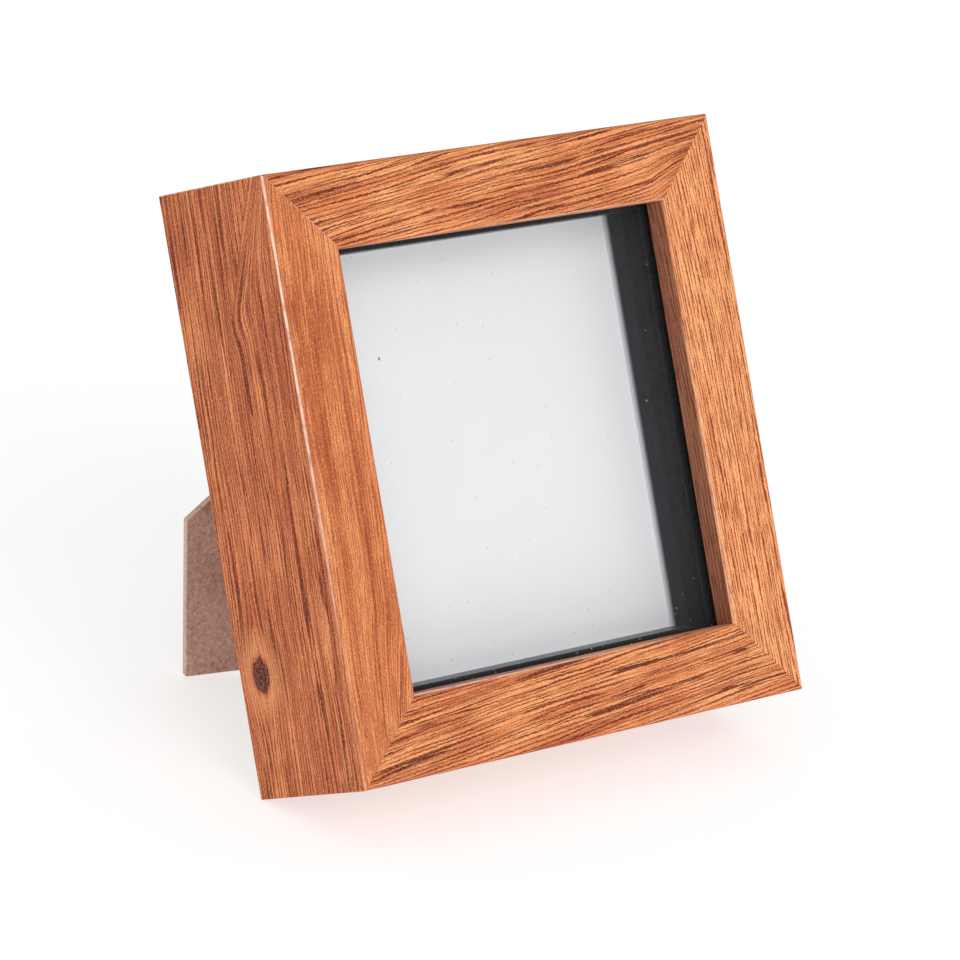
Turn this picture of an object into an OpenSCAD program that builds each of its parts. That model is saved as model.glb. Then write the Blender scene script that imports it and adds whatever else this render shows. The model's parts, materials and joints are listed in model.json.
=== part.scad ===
// Square deep box frame that stands on an open easel strut.
// The pieces are drawn upright: +X right, +Y from the face to the back, +Z up,
// with the origin under the middle of the face. stand() then leans them back
// until the strut's foot and the back edge of the bottom rail touch the table.

/* [Frame] */
// Outer width and height of the square frame
frame_side = 134; // [130:1:170]
// Depth of the moulding, from its face to its back
frame_depth = 36; // [35:1:45]
// Width of each rail, seen from the front
face_w = 18.2; // [17:0.1:20]
// Radius of the moulding's two front edges
edge_r = 1; // [0.5:0.1:2]
// Thickness of the printed foil around the moulding
foil_t = 0.25; // [0.15:0.05:0.4]

/* [Rebate] */
// Thickness of the front lip that the glass rests against
lip_t = 5.8; // [4:0.1:8]
// How far the lip reaches over the glass
lip_overlap = 3.2; // [2.5:0.1:4]
// Gap around the glass, the card and the back panel
loose_gap = 0.4; // [0.3:0.1:0.6]

/* [Stack behind the lip] */
// Thickness of the glass
glass_t = 2; // [1.5:0.1:3]
// Depth of the spacer, which is the depth of the display space
spacer_depth = 12.6; // [10:0.1:13.4]
// Thickness of each spacer strip
spacer_t = 4; // [3:0.1:5]
// Thickness of the insert card, a stiff mount board
card_t = 2; // [1:0.1:2.4]
// Thickness of the hardboard back panel
panel_t = 2.8; // [2:0.1:3]

/* [Corner nails] */
// Length of each leg of a V-nail
nail_leg = 3.6; // [2.5:0.1:4]
// Height of a V-nail, driven in from the back
nail_h = 8; // [5:1:10]
// Thickness of a V-nail's steel
nail_t = 0.5; // [0.4:0.05:0.6]

/* [Retaining tabs] */
// Width of a flexible tab
tab_w = 8; // [6:0.5:10]
// Thickness of a tab's steel
tab_t = 0.45; // [0.4:0.05:0.6]
// Length of a tab that shows inside the rebate
tab_reach = 10; // [8:0.5:10]
// Length of a tab that is driven into the moulding
tab_root = 6; // [4:0.5:8]
// Distance of each tab from the middle of its rail
tab_offset = 20; // [16:1:26]
// Gap between a tab and the back panel
tab_gap = 0.3; // [0.3:0.05:0.5]

/* [Strut] */
// Length of the strut, from the hinge pin to the foot corner
strut_length = 130; // [124:0.5:131]
// Half of the strut's width at its shoulders
shoulder_half = 26.66; // [20:0.1:30]
// Angle by which each long edge of the strut tapers
strut_taper = 6; // [3:0.5:7]
// Gap from the folded foot corner to the outer faces of the frame
foot_inset = 15.5; // [15.5:0.1:16.5]
// Angle between the open strut and the back panel
open_angle = 29; // [24:1:34]
// Gap between the folded strut and the back panel
strut_gap = 0.4; // [0.3:0.1:0.6]

/* [Strut hinge] */
// Radius of the hinge pin
pin_r = 1; // [0.8:0.1:1.1]
// Outer radius of the hinge's knuckles
knuckle_r = 1.7; // [1.6:0.1:1.8]
// Thickness of the hinge leaves
leaf_t = 0.6; // [0.5:0.05:0.65]
// Half of the hinge's width along its pin
leaf_half = 10; // [9:0.5:11]
// Half of the width of the moving leaf's knuckle
knuckle_half = 3.4; // [3:0.1:3.6]
// Length of the moving leaf along the strut
moving_leaf_l = 14; // [12:1:18]
// Gap left at the stop when the strut is fully open
stop_gap = 0.1; // [0.1:0.05:0.3]

/* [Rivets] */
// Radius of a rivet's head
head_r = 1.7; // [1.5:0.1:1.8]
// Height of a rivet's head
head_h = 0.6; // [0.4:0.1:0.7]
// Radius of a rivet's shank
shank_r = 1.1; // [0.9:0.1:1.2]

/* [Wall hanger] */
// Height of the hanger ring's hinge line above the frame's underside
hanger_z = 108.5; // [106:0.5:109]
// Height of the triangular ring
ring_h = 8.5; // [8:0.1:9]
// Half of the width of the triangular ring
ring_half = 5; // [4.5:0.1:5.5]
// Radius of the ring's wire
wire_r = 0.6; // [0.5:0.05:0.65]
// Half of the width of the strap that holds the ring
strap_half = 3.2; // [3:0.1:3.5]
// Length of the strap below the ring's hinge line
strap_l = 8.6; // [8:0.1:9]
// Thickness of the strap
strap_t = 0.5; // [0.4:0.05:0.5]

/* [Hidden] */
$fn = 64;

overcut = 1;        // how far a cutter runs past the face that it cuts
run_gap = 0.05;     // radial clearance of a running fit
side_gap = 0.3;     // gap beside a knuckle or at a hinge line
wall = face_w - lip_overlap;            // outer face to the rebate wall
pane_side = frame_side - 2 * wall - 2 * loose_gap;
pane_z = wall + loose_gap;              // underside of the pane, card and panel

// Depths of the stack, counted from the face.
glass_y = lip_t;
spacer_y = glass_y + glass_t;
card_y = spacer_y + spacer_depth;
panel_y = card_y + card_t;
back_y = panel_y + panel_t;             // back face of the panel

// Half turns round the frame that take the bottom rail to each side.
BOTTOM = 0;
LEFT = 90;
TOP = 180;
RIGHT = 270;

// Strut hinge: the pin runs at 45 degrees across the top right of the panel.
diagonal = 45;
pin_y = back_y + knuckle_r;
pin_z = foot_inset + strut_length * cos(diagonal);
pin_x = pin_z - frame_side / 2;
strut_front = strut_gap - knuckle_r;    // folded strut's inner face, from the pin
strut_back = knuckle_r - leaf_t;        // and its outer face, under the moving leaf
strut_t = strut_back - strut_front;
strut_top = knuckle_r + 3 * side_gap;   // pin to the strut's upper end
shoulder_l = strut_length - shoulder_half;
strut_top_half = shoulder_half - (shoulder_l - strut_top) * tan(strut_taper);
heel_l = (strut_back * cos(open_angle) + knuckle_r - leaf_t - stop_gap) / sin(open_angle);
fixed_leaf_l = leaf_half;
leaf_clip = leaf_half / 2;              // cut corners, parallel to the rebate walls
panel_rivet = [5.9, 5.6];               // along the pin, and away from it
strut_rivet = [5.4, 9];

// A point of the open strut in the upright frame: along the pin, down the
// strut, and out from the pin's own plane.
function strut_point(along, down, out) = let (
        depth = out * cos(open_angle) + down * sin(open_angle),
        rise = out * sin(open_angle) - down * cos(open_angle))
    [pin_x + (along + rise) * cos(diagonal),
     pin_y + depth,
     pin_z + (rise - along) * sin(diagonal)];

// The lean at which a point behind the frame comes down to the table.
function lean_at(p) = atan2(p.z, p.y - frame_depth);
lean = min(lean_at(strut_point(0, strut_length, strut_front)),
           lean_at(strut_point(0, strut_length, strut_back)));

// How far back a point of the upright frame ends up once the frame leans.
function reach_back(p) = (p.y - frame_depth) * cos(lean) + p.z * sin(lean);
y_front = reach_back([0, edge_r, edge_r]) - edge_r;
y_back = max(reach_back([0, frame_depth, frame_side]),
             reach_back(strut_point(0, strut_length, strut_back)),
             reach_back(strut_point(-shoulder_half, shoulder_l, strut_back)));

// Colours.
foil_orange = [0.76, 0.45, 0.23];
raw_board = [0.74, 0.61, 0.46];
hardboard = [0.45, 0.33, 0.25];
steel = [0.75, 0.76, 0.78];
spacer_black = [0.05, 0.06, 0.07];
card_white = [0.87, 0.88, 0.88];
glass_tint = [0.75, 0.87, 0.86, 0.35];

module stand() {
    translate([0, -(y_front + y_back) / 2, 0])
        rotate([-lean, 0, 0])
            translate([0, -frame_depth, 0])
                children();
}

// Turns a piece of the bottom rail about the middle of the frame.
module to_side(turn) {
    translate([0, 0, frame_side / 2])
        rotate([0, turn, 0])
            translate([0, 0, -frame_side / 2])
                children();
}

// Moulding ------------------------------------------------------------------

// Section of the moulding: depth along X, distance in from the outer face
// along Y. The inset peels the foil off the outer, front and lip faces.
module moulding_section(inset) {
    flat = face_w - 2 * edge_r;
    union() {
        translate([edge_r, inset]) square([frame_depth - edge_r, wall - inset]);
        translate([edge_r, inset]) square([lip_t - edge_r, face_w - 2 * inset]);
        translate([inset, edge_r]) square([edge_r - inset, flat]);
        translate([edge_r, edge_r]) circle(r = edge_r - inset);
        translate([edge_r, face_w - edge_r]) circle(r = edge_r - inset);
    }
}

// The bottom rail's length of a section, mitred at both ends.
module mitred() {
    half = frame_side / 2;
    intersection() {
        rotate([90, 0, 90])
            translate([0, 0, -half])
                linear_extrude(frame_side)
                    children();
        translate([0, frame_depth + overcut, 0])
            rotate([90, 0, 0])
                linear_extrude(frame_depth + 2 * overcut)
                    polygon([[-half, 0], [half, 0], [half - face_w, face_w],
                             [face_w - half, face_w]]);
    }
}

module rail_core(turn) {
    color(raw_board)
        difference() {
            to_side(turn) mitred() moulding_section(foil_t);
            v_nails();
            to_side(turn) tab_anchor(turn);
        }
}

module rail_foil(turn) {
    color(foil_orange)
        to_side(turn)
            mitred()
                difference() {
                    moulding_section(0);
                    moulding_section(foil_t);
                }
}

module left_stile() { rail_core(LEFT); }
module right_stile() { rail_core(RIGHT); }
module top_rail() { rail_core(TOP); }
module bottom_rail() { rail_core(BOTTOM); }
module left_foil() { rail_foil(LEFT); }
module right_foil() { rail_foil(RIGHT); }
module top_foil() { rail_foil(TOP); }
module bottom_foil() { rail_foil(BOTTOM); }

// Two V-nails across each mitre, one leg in each rail, flush with the back.
module v_nails() {
    for (turn = [BOTTOM, LEFT, TOP, RIGHT], step = [1, 2])
        to_side(turn)
            translate([step * wall / 3 - frame_side / 2, frame_depth - nail_h,
                       step * wall / 3]) {
                cube([nail_leg, nail_h, nail_t]);
                cube([nail_t, nail_h, nail_leg]);
            }
}

module corner_v_nails() {
    color(steel) v_nails();
}

// Stack in the rebate -------------------------------------------------------

module sheet_at(y, thickness) {
    translate([-pane_side / 2, y, pane_z])
        cube([pane_side, thickness, pane_side]);
}

module glass_pane() {
    color(glass_tint) sheet_at(glass_y, glass_t);
}

// The upright strips run the full height, and the level ones fit between.
module spacer_strip(turn, length) {
    color(spacer_black)
        to_side(turn)
            translate([-length / 2, spacer_y, pane_z - loose_gap / 2])
                cube([length, spacer_depth, spacer_t]);
}

upright_l = pane_side + loose_gap;
level_l = upright_l - 2 * spacer_t;
module spacer_left() { spacer_strip(LEFT, upright_l); }
module spacer_right() { spacer_strip(RIGHT, upright_l); }
module spacer_top() { spacer_strip(TOP, level_l); }
module spacer_bottom() { spacer_strip(BOTTOM, level_l); }

module insert_card() {
    color(card_white) sheet_at(card_y, card_t);
}

module back_panel() {
    color(hardboard)
        difference() {
            sheet_at(panel_y, panel_t);
            panel_rivet_shanks(overcut);
            hanger_shank(overcut);
        }
}

// Retaining tabs ------------------------------------------------------------

tab_y = back_y + tab_gap;
tab_axis_z = wall + run_gap + tab_t / 2;    // where a tab bends

// Each tab stands on the side of its rail that the folded strut leaves free.
function tab_x(turn) = turn % 180 == 0 ? tab_offset : -tab_offset;

module tab_anchor(turn) {
    translate([tab_x(turn) - tab_w / 2, tab_y, wall - tab_root])
        cube([tab_w, tab_t, tab_root]);
}

module tab_roots() {
    color(steel)
        for (turn = [BOTTOM, LEFT, TOP, RIGHT])
            to_side(turn) tab_anchor(turn);
}

// The free part of a tab narrows to a round tip, and its root is a half round
// about the line where it bends.
module tab_tongue(turn) {
    tip_r = tab_w / 4;
    tip_z = wall + tab_reach - tip_r;
    square_z = wall + tab_reach / 2;
    color(steel)
        to_side(turn)
            translate([tab_x(turn), tab_y, 0]) {
                translate([0, tab_t, 0])
                    rotate([90, 0, 0])
                        linear_extrude(tab_t)
                            union() {
                                polygon([[-tab_w / 2, tab_axis_z], [tab_w / 2, tab_axis_z],
                                         [tab_w / 2, square_z], [tip_r, tip_z],
                                         [-tip_r, tip_z], [-tab_w / 2, square_z]]);
                                translate([0, tip_z]) circle(r = tip_r);
                            }
                translate([-tab_w / 2, tab_t / 2, tab_axis_z])
                    rotate([0, 90, 0])
                        cylinder(h = tab_w, r = tab_t / 2);
            }
}

module tab_left() { tab_tongue(LEFT); }
module tab_right() { tab_tongue(RIGHT); }
module tab_top() { tab_tongue(TOP); }
module tab_bottom() { tab_tongue(BOTTOM); }

// Rivets --------------------------------------------------------------------

// A rivet along +Y: its shank starts at 0 and its head sits at the grip length.
module rivet(grip) {
    rotate([-90, 0, 0]) {
        cylinder(h = grip, r = shank_r);
        translate([0, 0, grip]) cylinder(h = head_h / 2, r = head_r);
        translate([0, 0, grip + head_h / 2])
            cylinder(h = head_h / 2, r1 = head_r, r2 = head_r * 0.7);
    }
}

// Strut and its hinge -------------------------------------------------------

// Hinge space: X along the pin, Y out of the back, Z away from the foot.
module at_pin() {
    translate([pin_x, pin_y, pin_z])
        rotate([0, diagonal, 0])
            children();
}

module at_open_strut() {
    at_pin() rotate([open_angle, 0, 0]) children();
}

// A plate in hinge space, from its outline and its two faces.
module plate(y_low, y_high) {
    translate([0, y_high, 0])
        rotate([90, 0, 0])
            linear_extrude(y_high - y_low)
                children();
}

module knuckle(x_low, x_high, bore_r) {
    translate([x_low, 0, 0])
        rotate([0, 90, 0])
            difference() {
                cylinder(h = x_high - x_low, r = knuckle_r);
                translate([0, 0, -overcut])
                    cylinder(h = x_high - x_low + 2 * overcut, r = bore_r);
            }
}

module panel_rivet_shanks(extra) {
    at_pin()
        for (side = [-1, 1])
            translate([side * panel_rivet.x, -knuckle_r - panel_t - extra, panel_rivet.y])
                rotate([-90, 0, 0])
                    cylinder(h = panel_t + leaf_t + 2 * extra, r = shank_r);
}

module strut_rivet_shanks(extra) {
    for (side = [-1, 1])
        translate([side * strut_rivet.x, strut_front - extra, -strut_rivet.y])
            rotate([-90, 0, 0])
                cylinder(h = strut_t + leaf_t + 2 * extra, r = shank_r);
}

module strut_leg() {
    color(hardboard)
        at_open_strut()
            difference() {
                plate(strut_front, strut_back)
                    polygon([[0, -strut_length], [shoulder_half, -shoulder_l],
                             [strut_top_half, -strut_top], [-strut_top_half, -strut_top],
                             [-shoulder_half, -shoulder_l]]);
                strut_rivet_shanks(overcut);
            }
}

module hinge_fixed_leaf() {
    notch_half = knuckle_half + side_gap;
    notch_l = knuckle_r + side_gap;
    color(steel)
        difference() {
            at_pin() {
                plate(-knuckle_r, leaf_t - knuckle_r)
                    difference() {
                        polygon([[-leaf_half, 0], [leaf_half, 0], [leaf_half, leaf_clip],
                                 [leaf_clip, fixed_leaf_l], [-leaf_clip, fixed_leaf_l],
                                 [-leaf_half, leaf_clip]]);
                        translate([-notch_half, -overcut])
                            square([2 * notch_half, notch_l + overcut]);
                    }
                knuckle(-leaf_half, -notch_half, pin_r);
                knuckle(notch_half, leaf_half, pin_r);
            }
            panel_rivet_shanks(overcut);
        }
}

// The heel past the knuckle lands on the fixed leaf and stops the strut.
module hinge_moving_leaf() {
    color(steel)
        at_open_strut()
            difference() {
                union() {
                    plate(strut_back, knuckle_r)
                        union() {
                            translate([-knuckle_half, -strut_top - overcut])
                                square([2 * knuckle_half, strut_top + overcut + heel_l]);
                            translate([side_gap - leaf_half, -moving_leaf_l])
                                square([2 * (leaf_half - side_gap), moving_leaf_l - strut_top]);
                        }
                    rotate([0, 90, 0])
                        cylinder(h = 2 * knuckle_half, r = knuckle_r, center = true);
                }
                rotate([0, 90, 0])
                    cylinder(h = 2 * (knuckle_half + overcut), r = pin_r + run_gap, center = true);
                strut_rivet_shanks(overcut);
            }
}

module hinge_pin() {
    pin_half = leaf_half + side_gap;
    color(steel)
        at_pin()
            rotate([0, 90, 0])
                cylinder(h = 2 * pin_half, r = pin_r, center = true);
}

module hinge_panel_rivets() {
    color(steel)
        at_pin()
            for (side = [-1, 1])
                translate([side * panel_rivet.x, -knuckle_r - panel_t, panel_rivet.y])
                    rivet(panel_t + leaf_t);
}

module hinge_strut_rivets() {
    color(steel)
        at_open_strut()
            for (side = [-1, 1])
                translate([side * strut_rivet.x, strut_front, -strut_rivet.y])
                    rivet(strut_t + leaf_t);
}

// Wall hanger ---------------------------------------------------------------

roll_bore_r = wire_r + run_gap;
roll_r = roll_bore_r + strap_t;
roll_half = strap_half - side_gap;
hanger_y = back_y + roll_r;
hanger_rivet_z = hanger_z - strap_l / 2;

module hanger_shank(extra) {
    translate([0, panel_y - extra, hanger_rivet_z])
        rotate([-90, 0, 0])
            cylinder(h = panel_t + strap_t + 2 * extra, r = shank_r);
}

module hanger_strap() {
    color(steel)
        difference() {
            union() {
                translate([-strap_half, back_y, hanger_z - strap_l])
                    cube([2 * strap_half, strap_t, strap_l]);
                translate([-roll_half, hanger_y, hanger_z])
                    rotate([0, 90, 0])
                        cylinder(h = 2 * roll_half, r = roll_r);
            }
            translate([-strap_half - overcut, hanger_y, hanger_z])
                rotate([0, 90, 0])
                    cylinder(h = 2 * (strap_half + overcut), r = roll_bore_r);
            hanger_shank(overcut);
        }
}

module wire(from, to) {
    run = to - from;
    translate(from) {
        sphere(r = wire_r);
        rotate([0, acos(run.z / norm(run)), atan2(run.y, run.x)])
            cylinder(h = norm(run), r = wire_r);
    }
}

// The ring hangs straight down while the frame leans.
module hanger_ring() {
    corners = [[-ring_half, 0, 0], [ring_half, 0, 0], [0, 0, -ring_h]];
    color(steel)
        translate([0, hanger_y, hanger_z])
            rotate([lean, 0, 0])
                for (i = [0:2])
                    wire(corners[i], corners[(i + 1) % 3]);
}

module hanger_rivet() {
    color(steel)
        translate([0, panel_y, hanger_rivet_z])
            rivet(panel_t + strap_t);
}

stand() left_stile();
stand() right_stile();
stand() top_rail();
stand() bottom_rail();
stand() left_foil();
stand() right_foil();
stand() top_foil();
stand() bottom_foil();
stand() corner_v_nails();
stand() glass_pane();
stand() spacer_left();
stand() spacer_right();
stand() spacer_top();
stand() spacer_bottom();
stand() insert_card();
stand() back_panel();
stand() tab_roots();
stand() tab_left();
stand() tab_right();
stand() tab_top();
stand() tab_bottom();
stand() strut_leg();
stand() hinge_fixed_leaf();
stand() hinge_moving_leaf();
stand() hinge_pin();
stand() hinge_panel_rivets();
stand() hinge_strut_rivets();
stand() hanger_strap();
stand() hanger_ring();
stand() hanger_rivet();
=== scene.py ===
import json
import math

import bmesh
import bpy
from mathutils import Matrix, Vector


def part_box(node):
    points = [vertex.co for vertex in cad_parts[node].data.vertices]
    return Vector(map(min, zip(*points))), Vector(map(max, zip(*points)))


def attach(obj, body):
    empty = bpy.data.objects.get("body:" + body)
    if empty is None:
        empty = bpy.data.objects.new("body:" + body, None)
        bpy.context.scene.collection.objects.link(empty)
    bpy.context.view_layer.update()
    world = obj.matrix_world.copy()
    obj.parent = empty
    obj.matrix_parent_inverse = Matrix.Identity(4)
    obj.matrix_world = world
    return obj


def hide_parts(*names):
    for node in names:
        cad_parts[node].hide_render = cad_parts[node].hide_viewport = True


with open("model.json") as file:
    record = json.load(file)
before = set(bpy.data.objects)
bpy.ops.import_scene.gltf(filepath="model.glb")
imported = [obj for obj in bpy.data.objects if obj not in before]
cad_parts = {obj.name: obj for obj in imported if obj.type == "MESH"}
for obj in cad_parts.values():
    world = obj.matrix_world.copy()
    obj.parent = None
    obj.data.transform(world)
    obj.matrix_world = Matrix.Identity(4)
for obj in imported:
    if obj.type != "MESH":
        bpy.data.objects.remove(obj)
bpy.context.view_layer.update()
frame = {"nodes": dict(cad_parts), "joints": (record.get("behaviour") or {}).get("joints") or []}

# ---------------------------------------------------------------------------
# Printed foil on the four mouldings. A thin foil printed like wood is wrapped
# round each moulding's outer side, face and lip, and the wrapped moulding is
# then sawn at 45 degrees, so the foil ends in a fine pale line at each mitre.
# ---------------------------------------------------------------------------
MM = 0.001
joints = {joint["name"]: joint for joint in frame["joints"]}

# Pieces are made upright, with the origin under the middle of the face, and
# lean_back then takes them to their place. The strut's hinge runs across the
# upright back at 45 degrees, so its axis gives the lean.
hinge_axis = Vector(joints["strut_hinge"]["axis"])
lean = math.atan2(hinge_axis.y, hinge_axis.z)


def corners_of(node, turn):
    """Lowest and highest corners of a CAD node once it is turned."""
    places = [turn @ vertex.co for vertex in frame["nodes"][node].data.vertices]
    low = Vector([min(place[axis] for place in places) for axis in range(3)])
    high = Vector([max(place[axis] for place in places) for axis in range(3)])
    return low, high


unlean = Matrix.Rotation(lean, 4, "X")
rail_low, rail_high = corners_of("bottom_foil", unlean)
stand_up = Matrix.Translation((0, -rail_low.y, -rail_low.z)) @ unlean
lean_back = stand_up.inverted()


def upright(node):
    """Lowest and highest corners of a CAD node in the upright frame."""
    return corners_of(node, stand_up)


def shape(piece):
    """Goes into edit mode on one piece alone."""
    if bpy.context.object and bpy.context.object.mode == "EDIT":
        bpy.ops.object.mode_set(mode="OBJECT")
    bpy.ops.object.select_all(action="DESELECT")
    bpy.context.view_layer.objects.active = piece
    piece.select_set(True)
    bpy.ops.object.mode_set(mode="EDIT")
    bpy.ops.mesh.select_all(action="SELECT")


def shaped():
    """Leaves edit mode."""
    bpy.ops.object.mode_set(mode="OBJECT")


def pick(kind, test):
    """Selects the faces or edges of the piece being shaped that pass a test.
    The test gets a place and a direction: a face's normal or an edge's run."""
    bpy.ops.mesh.select_mode(type=kind)
    bpy.ops.mesh.select_all(action="DESELECT")
    mesh = bmesh.from_edit_mesh(bpy.context.object.data)
    mesh.normal_update()
    if kind == "FACE":
        for face in mesh.faces:
            face.select_set(test(face.calc_center_median(), face.normal))
    else:
        for edge in mesh.edges:
            start, end = (vertex.co for vertex in edge.verts)
            edge.select_set(test((start + end) / 2, (end - start).normalized()))
    mesh.select_flush_mode()
    bmesh.update_edit_mesh(bpy.context.object.data)


def settle(piece, matrix):
    """Moves a piece's place into its mesh, seen through a matrix."""
    bpy.context.view_layer.update()
    piece.data.transform(matrix @ piece.matrix_world)
    piece.matrix_world = Matrix.Identity(4)
    if matrix.determinant() < 0:
        piece.data.flip_normals()


def block(name, low, high):
    """A box between two corners, as a start for a piece."""
    bpy.ops.object.select_all(action="DESELECT")
    low, high = Vector(low), Vector(high)
    bpy.ops.mesh.primitive_cube_add(size=1, location=(low + high) / 2)
    piece = bpy.context.object
    piece.name = name
    piece.scale = high - low
    settle(piece, Matrix.Identity(4))
    return piece


def cut_off(place, normal):
    """Cuts away all that lies past a plane and closes the cut."""
    bpy.ops.mesh.select_all(action="SELECT")
    bpy.ops.mesh.bisect(plane_co=place, plane_no=normal, use_fill=True, clear_outer=True)


def apply(piece, kind, **settings):
    """Adds a modifier and applies it."""
    bpy.ops.object.select_all(action="DESELECT")
    bpy.context.view_layer.objects.active = piece
    piece.select_set(True)
    modifier = piece.modifiers.new(kind.lower(), kind)
    for name, value in settings.items():
        setattr(modifier, name, value)
    bpy.ops.object.modifier_apply(modifier=modifier.name)


def smooth(piece, angle=50):
    """Smooths the rounded edges and keeps the broad faces flat."""
    bpy.ops.object.select_all(action="DESELECT")
    bpy.context.view_layer.objects.active = piece
    piece.select_set(True)
    bpy.ops.object.shade_smooth_by_angle(angle=math.radians(angle))
    apply(piece, "WEIGHTED_NORMAL", weight=100, keep_sharp=True)


def fit(piece, node, body, finish):
    """Puts a finished piece in a CAD node's stead, in its own finish."""
    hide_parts(node)
    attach(piece, body)
    piece.data.materials.clear()
    piece.data.materials.append(finish)


class Finish:
    """A material being mixed. Each method adds a node and gives its output."""

    def __init__(self, name, sockets):
        self.material = bpy.data.materials.new(name)
        self.material.use_nodes = True
        self.tree = self.material.node_tree
        self.shader = self.tree.nodes["Principled BSDF"]
        for socket, value in sockets.items():
            self.shader.inputs[socket].default_value = value

    def fill(self, socket, value):
        if isinstance(value, bpy.types.NodeSocket):
            self.tree.links.new(value, socket)
        else:
            socket.default_value = value

    def add(self, kind, inputs, output=0, **settings):
        node = self.tree.nodes.new("ShaderNode" + kind)
        for name, value in settings.items():
            setattr(node, name, value)
        for name, value in inputs.items():
            self.fill(node.inputs[name], value)
        return node.outputs[output]

    def math(self, operation, *values):
        return self.add("Math", dict(enumerate(values)), operation=operation)

    def plus(self, first, *others):
        for other in others:
            first = self.math("ADD", first, other)
        return first

    def minus(self, value, taken):
        return self.math("SUBTRACT", value, taken)

    def times(self, first, *others):
        for other in others:
            first = self.math("MULTIPLY", first, other)
        return first

    def distance(self, value, place=0.0):
        """How far the value is from a place, on either side."""
        return self.math("ABSOLUTE", self.minus(value, place))

    def object_place(self):
        """The place on the object, in millimetres."""
        place = self.add("TexCoord", {}, output="Object")
        return self.stretch(place, (1 / MM, 1 / MM, 1 / MM))

    def stretch(self, place, scale, shift=(0, 0, 0)):
        scaled = self.add("VectorMath", {0: place, 1: scale}, operation="MULTIPLY")
        return self.add("VectorMath", {0: scaled, 1: shift}, operation="ADD")

    def noise(self, place, detail=2.0, roughness=0.5):
        """Noise with features about one unit across, from 0 to 1."""
        return self.add("TexNoise", {"Vector": place, "Scale": 1.0, "Detail": detail,
                                     "Roughness": roughness})

    def fade(self, value, start, end, low=0.0, high=1.0):
        """Goes smoothly from low to high as the value goes from start to end."""
        return self.add("MapRange", {"Value": value, "From Min": start, "From Max": end,
                                     "To Min": low, "To Max": high},
                        interpolation_type="SMOOTHSTEP")

    def scale(self, value, start, end, low, high):
        """The same in a straight line."""
        return self.add("MapRange", {"Value": value, "From Min": start, "From Max": end,
                                     "To Min": low, "To Max": high})

    def tint(self, amount, under, over, blend="MIX"):
        """Lays one colour over another."""
        node = self.tree.nodes.new("ShaderNodeMix")
        node.data_type = "RGBA"
        node.blend_type = blend
        for socket, value in zip((node.inputs[0], node.inputs[6], node.inputs[7]),
                                 (amount, under, over)):
            self.fill(socket, value)
        return node.outputs[2]

    def ramp(self, value, stops):
        node = self.tree.nodes.new("ShaderNodeValToRGB")
        self.fill(node.inputs[0], value)
        while len(node.color_ramp.elements) < len(stops):
            node.color_ramp.elements.new(0.5)
        for element, (place, colour) in zip(node.color_ramp.elements, stops):
            element.position = place
            element.color = colour
        return node.outputs[0]

    def bump(self, height, depth, strength=1.0):
        """Raises the surface by height times a depth in millimetres."""
        normal = self.add("Bump", {"Height": height, "Distance": depth * MM,
                                   "Strength": strength})
        self.tree.links.new(normal, self.shader.inputs["Normal"])

    def set(self, socket, value):
        self.fill(self.shader.inputs[socket], value)


def colour(red, green, blue):
    """A colour from its everyday red, green and blue, 0 to 255."""
    def linear(value):
        share = value / 255
        return share / 12.92 if share <= 0.04045 else ((share + 0.055) / 1.055) ** 2.4
    return (linear(red), linear(green), linear(blue), 1)


edge_r = 1.0 * MM                 # the moulding's rounded front edges
mitre_break = 0.1 * MM            # broken edge of the foil at the saw cut
frame_side = rail_high.x - rail_low.x
frame_depth = rail_high.y - rail_low.y
face_w = rail_high.z - rail_low.z
lip_t = upright("glass_pane")[0].y
foil_t = upright("bottom_rail")[0].z
BOTTOM, LEFT, TOP, RIGHT = 0, 90, 180, 270


def to_side(turn):
    """Takes a piece of the bottom rail to another side of the frame."""
    middle = Matrix.Translation((0, 0, frame_side / 2))
    return middle @ Matrix.Rotation(math.radians(turn), 4, "Y") @ middle.inverted()


def wrap_foil():
    """The foil of the bottom rail: folded round the moulding, then sawn at both ends."""
    half = frame_side / 2
    spare = 5 * MM                # length that the saw takes off
    piece = block("foil", (-half - spare, 0, 0), (half + spare, frame_depth, face_w))
    shape(piece)
    bpy.ops.mesh.bisect(plane_co=(0, lip_t, 0), plane_no=(0, 1, 0))
    pick("FACE", lambda place, normal: abs(normal.x) > 0.5 or normal.y > 0.5
         or (normal.z > 0.5 and place.y > lip_t))
    bpy.ops.mesh.delete(type="FACE")
    pick("EDGE", lambda place, run: abs(run.x) > 0.5 and place.y < edge_r / 2)
    bpy.ops.mesh.bevel(offset=edge_r, segments=8, profile=0.5)
    shaped()
    apply(piece, "SOLIDIFY", thickness=foil_t, offset=-1, use_even_offset=True)
    shape(piece)
    for side in (-1, 1):
        cut_off((side * half, 0, 0), (side, 0, 1))
    pick("FACE", lambda place, normal: abs(abs(normal.x) - abs(normal.z)) < 0.001
         and abs(normal.x) > 0.5)
    bpy.ops.mesh.region_to_loop()
    bpy.ops.mesh.bevel(offset=mitre_break, segments=2, profile=0.5)
    shaped()
    # The print's own map: along the rail, and across it from the front corner.
    layer = piece.data.uv_layers.new(name="print")
    for loop in piece.data.loops:
        place = piece.data.vertices[loop.vertex_index].co
        depth = place.y if place.z > face_w / 2 else -place.y
        layer.data[loop.index].uv = (place.x, place.z + depth)
    smooth(piece)
    return piece


foil_dark = colour(86, 22, 3)
foil_stroke = colour(146, 56, 24)
foil_red = colour(170, 80, 40)
foil_orange = colour(222, 134, 80)
foil_light = colour(246, 170, 110)
# Pale foil: the cut edges' wear, and the painted highlights along the edges and on flecks.
foil_wear_and_highlight = colour(252, 222, 206)
# The brown of the painted shade inside the lip.
lip_shade_brown = colour(94, 50, 44)
knot_brown = colour(72, 26, 16)

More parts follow.
